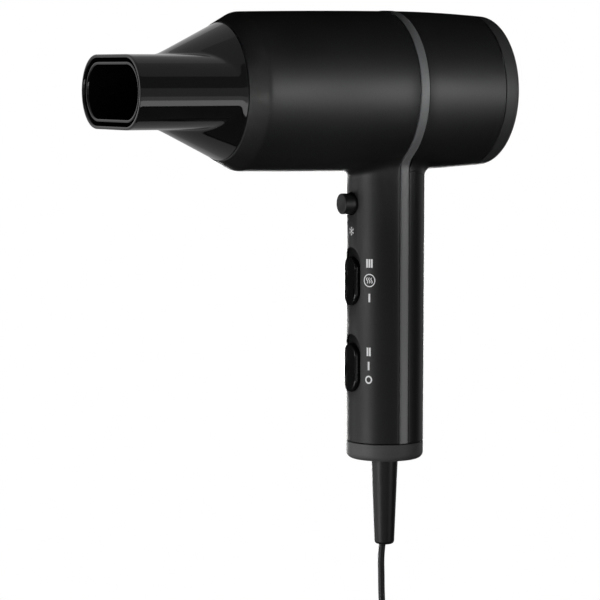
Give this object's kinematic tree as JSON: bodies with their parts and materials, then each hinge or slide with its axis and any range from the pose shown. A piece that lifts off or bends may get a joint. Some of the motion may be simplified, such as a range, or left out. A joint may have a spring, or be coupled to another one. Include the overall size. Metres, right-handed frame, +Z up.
{
  "type": "hair dryer",
  "caption": "Hand-held hair dryer with a flat concentrator nozzle, straight round handle with slide switches, and a coiled mains cord.",
  "frame": {"origin": "the middle of the grip, on the handle's axis", "axes": "+Z up the handle towards the barrel, -X the way the air blows, +Y to the dryer's left seen from behind"},
  "size_m": [0.2307, 0.0844, 0.3583],
  "materials": {
    "soft_black": "fine matt soft-touch, deep black",
    "gloss_black": "polished black",
    "band_grey": "satin graphite",
    "base_grey": "satin dark grey, fine grain",
    "knob_black": "satin black",
    "filter_mesh": "fine woven mesh",
    "inner_plastic": "heat-resistant black plastic",
    "pale_plastic": "natural unfilled plastic",
    "steel": "plated steel",
    "magnet": "sintered ferrite",
    "copper": "lacquered copper winding",
    "bronze": "sintered bronze",
    "mica": "pressed mica sheet",
    "heating_wire": "oxidised nichrome wire",
    "board_green": "solder-masked board",
    "cord_black": "smooth moulded PVC",
    "pin_metal": "nickel-plated brass",
    "printed_grey": "pad-printed marks, pale grey"
  },
  "bodies": {
    "housing": {"front_housing": "soft_black", "rear_housing": "soft_black", "handle_back_cover": "soft_black", "trim_band": "band_grey", "base_cap": "base_grey", "outlet_ring": "inner_plastic", "outlet_grille": "inner_plastic", "ion_emitter": "pale_plastic", "fan_shroud": "inner_plastic", "motor_can": "steel", "motor_magnet_left": "magnet", "motor_magnet_right": "magnet", "front_bearing": "bronze", "rear_bearing": "bronze", "heater_sleeve": "mica", "mica_board_upright": "mica", "mica_board_level": "mica", "heating_coil_front": "heating_wire", "heating_coil_rear": "heating_wire", "thermostat": "pale_plastic", "thermal_fuse": "steel", "circuit_board": "board_green", "board_screw_lower": "steel", "board_screw_upper": "steel", "speed_switch": "inner_plastic", "heat_switch": "inner_plastic", "cool_switch": "inner_plastic", "ion_generator": "inner_plastic", "cord_boot": "cord_black", "inner_lead": "cord_black", "cord_clamp": "pale_plastic", "clamp_screw_left": "steel", "clamp_screw_right": "steel", "cord_drop": "cord_black", "cord_coil": "cord_black", "cord_tie": "cord_black", "cord_tail": "cord_black", "plug_body": "cord_black", "plug_pin_left": "pin_metal", "plug_pin_right": "pin_metal"},
    "speed_slide": {"speed_knob": "knob_black", "speed_lever": "pale_plastic"},
    "heat_slide": {"heat_knob": "knob_black", "heat_lever": "pale_plastic"},
    "cool_push": {"cool_button": "knob_black", "cool_plunger": "pale_plastic"},
    "nozzle_swivel": {"nozzle_collar": "inner_plastic"},
    "nozzle": {"nozzle_shell": "gloss_black", "nozzle_duct": "gloss_black"},
    "rear_cover": {"rear_cap": "base_grey", "intake_filter": "filter_mesh"},
    "fan": {"impeller": "pale_plastic", "motor_shaft": "steel", "motor_armature": "copper"}
  },
  "joints": [
    {"name": "speed_slide_travel", "type": "slide", "parent": "housing", "child": "speed_slide", "axis": [0, 0, 1], "range_m": [0, 0.0048]},
    {"name": "heat_slide_travel", "type": "slide", "parent": "housing", "child": "heat_slide", "axis": [0, 0, 1], "range_m": [0, 0.0048]},
    {"name": "cool_press", "type": "slide", "parent": "housing", "child": "cool_push", "axis": [1, 0, 0], "range_m": [0, 0.003], "stiffness_N_per_m": 500, "springref_m": -0.001},
    {"name": "nozzle_turn", "type": "hinge", "parent": "housing", "child": "nozzle_swivel", "pos_m": [-0.0982, 0, 0.115], "axis": [-1, 0, 0], "continuous": true},
    {"name": "nozzle_pull", "type": "slide", "parent": "nozzle_swivel", "child": "nozzle", "axis": [-1, 0, 0], "range_m": [0, 0.012]},
    {"name": "rear_cap_pull", "type": "slide", "parent": "housing", "child": "rear_cover", "axis": [1, 0, 0], "range_m": [0, 0.02]},
    {"name": "fan_spin", "type": "hinge", "parent": "housing", "child": "fan", "pos_m": [0, 0, 0.115], "axis": [1, 0, 0], "continuous": true}
  ]
}
